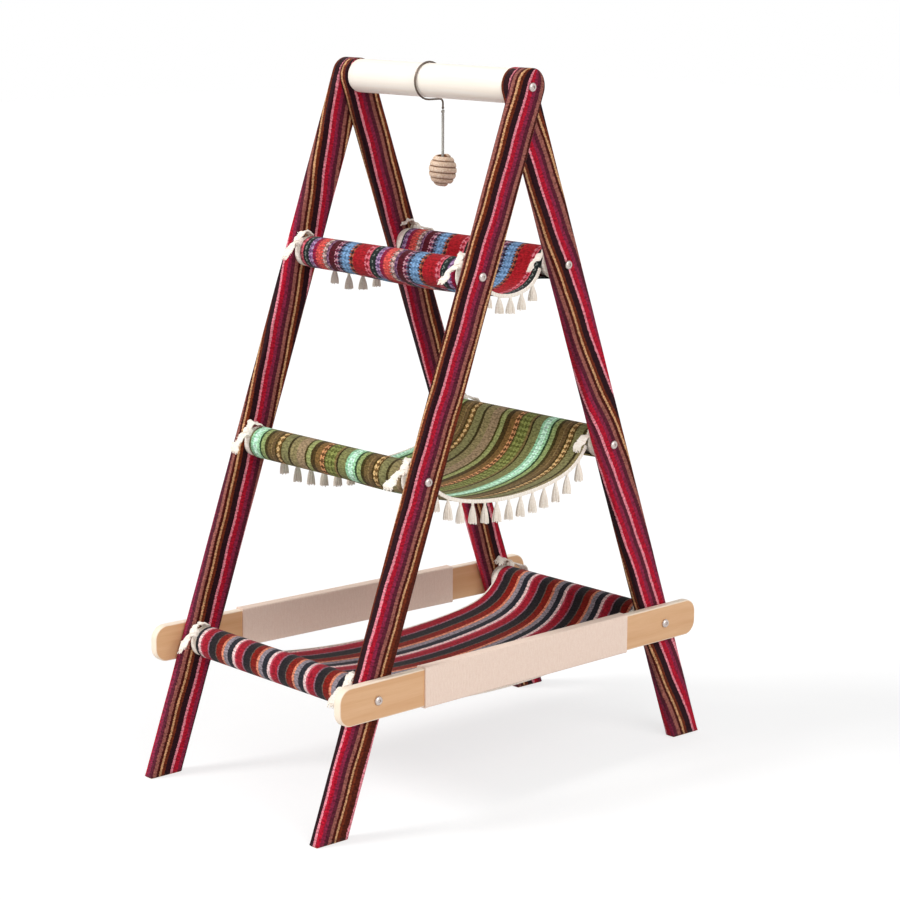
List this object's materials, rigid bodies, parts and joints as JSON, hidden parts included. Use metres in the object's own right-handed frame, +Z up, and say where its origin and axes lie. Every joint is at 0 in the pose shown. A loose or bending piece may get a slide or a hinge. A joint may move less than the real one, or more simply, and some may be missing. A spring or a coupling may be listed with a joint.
{
  "type": "a-frame cat tree",
  "caption": "A-frame cat tree with cloth-covered legs, cloth hammocks slung between dowels, wooden side boards and a rope ball hanging from a wire hook on the top bar.",
  "frame": {"origin": "on the floor, under the middle of the top bar", "axes": "+X along the top bar and the dowels, +Y from the front legs to the rear legs, +Z up"},
  "size_m": [0.4048, 0.7114, 0.9514],
  "materials": {
    "birch": "sanded, clear coat",
    "pale_wood": "sanded, unfinished",
    "striped_cloth": "woven, striped in crimson, plum and tan",
    "cream_cord": "fine ribbed wrap",
    "cream_cotton": "twisted cotton",
    "hammock_upper": "woven, striped in red, blue, lilac and charcoal",
    "hammock_middle": "woven, striped in olive, mint, brown and orange",
    "hammock_lower": "woven, striped in crimson, rust, grey and navy",
    "plated_steel": "bright plated",
    "dark_wire": "darkened",
    "grey_twine": "twisted",
    "sisal_rope": "wound natural rope",
    "dark_fibre": "packed fibre"
  },
  "bodies": {
    "frame": {"leg_front_left": "birch", "leg_front_right": "birch", "leg_rear_left": "birch", "leg_rear_right": "birch", "leg_cover_front_left": "striped_cloth", "leg_cover_front_right": "striped_cloth", "leg_cover_rear_left": "striped_cloth", "leg_cover_rear_right": "striped_cloth", "top_bar": "pale_wood", "dowel_upper_front": "pale_wood", "dowel_upper_rear": "pale_wood", "dowel_middle_front": "pale_wood", "dowel_middle_rear": "pale_wood", "dowel_lower_front": "pale_wood", "dowel_lower_rear": "pale_wood", "side_board_left": "birch", "side_board_right": "birch", "side_wrap_left": "cream_cord", "side_wrap_right": "cream_cord", "hammock_upper": "hammock_upper", "hammock_middle": "hammock_middle", "hammock_lower": "hammock_lower", "fringe_upper_left": "cream_cotton", "fringe_upper_right": "cream_cotton", "fringe_middle_left": "cream_cotton", "fringe_middle_right": "cream_cotton", "piping_lower_left": "cream_cotton", "piping_lower_right": "cream_cotton", "ribbon_upper_front_left": "cream_cotton", "ribbon_upper_front_right": "cream_cotton", "ribbon_upper_rear_left": "cream_cotton", "ribbon_upper_rear_right": "cream_cotton", "ribbon_middle_front_left": "cream_cotton", "ribbon_middle_front_right": "cream_cotton", "ribbon_middle_rear_left": "cream_cotton", "ribbon_middle_rear_right": "cream_cotton", "ribbon_lower_front_left": "cream_cotton", "ribbon_lower_front_right": "cream_cotton", "ribbon_lower_rear_left": "cream_cotton", "ribbon_lower_rear_right": "cream_cotton", "bolt_top_left": "plated_steel", "bolt_top_right": "plated_steel", "bolt_upper_front_left": "plated_steel", "bolt_upper_front_right": "plated_steel", "bolt_upper_rear_left": "plated_steel", "bolt_upper_rear_right": "plated_steel", "bolt_middle_front_left": "plated_steel", "bolt_middle_front_right": "plated_steel", "bolt_middle_rear_left": "plated_steel", "bolt_middle_rear_right": "plated_steel", "bolt_lower_front_left": "plated_steel", "bolt_lower_front_right": "plated_steel", "bolt_lower_rear_left": "plated_steel", "bolt_lower_rear_right": "plated_steel"},
    "hook": {"hook": "dark_wire"},
    "knot": {"twine_knot": "grey_twine"},
    "toy": {"toy_twine": "grey_twine", "toy_ball_core": "dark_fibre", "toy_ball_rope": "sisal_rope"}
  },
  "joints": [
    {"name": "hook_slide", "type": "slide", "parent": "frame", "child": "hook", "axis": [1, 0, 0], "range_m": [-0.0665, 0.0895]},
    {"name": "knot_swing", "type": "hinge", "parent": "hook", "child": "knot", "pos_m": [-0.0115, 0.0247, 0.88867], "axis": [0, 1, 0], "range_deg": [-40, 40]},
    {"name": "toy_swing", "type": "hinge", "parent": "knot", "child": "toy", "pos_m": [-0.0115, 0.0247, 0.88387], "axis": [1, 0, 0], "range_deg": [-60, 60]}
  ]
}
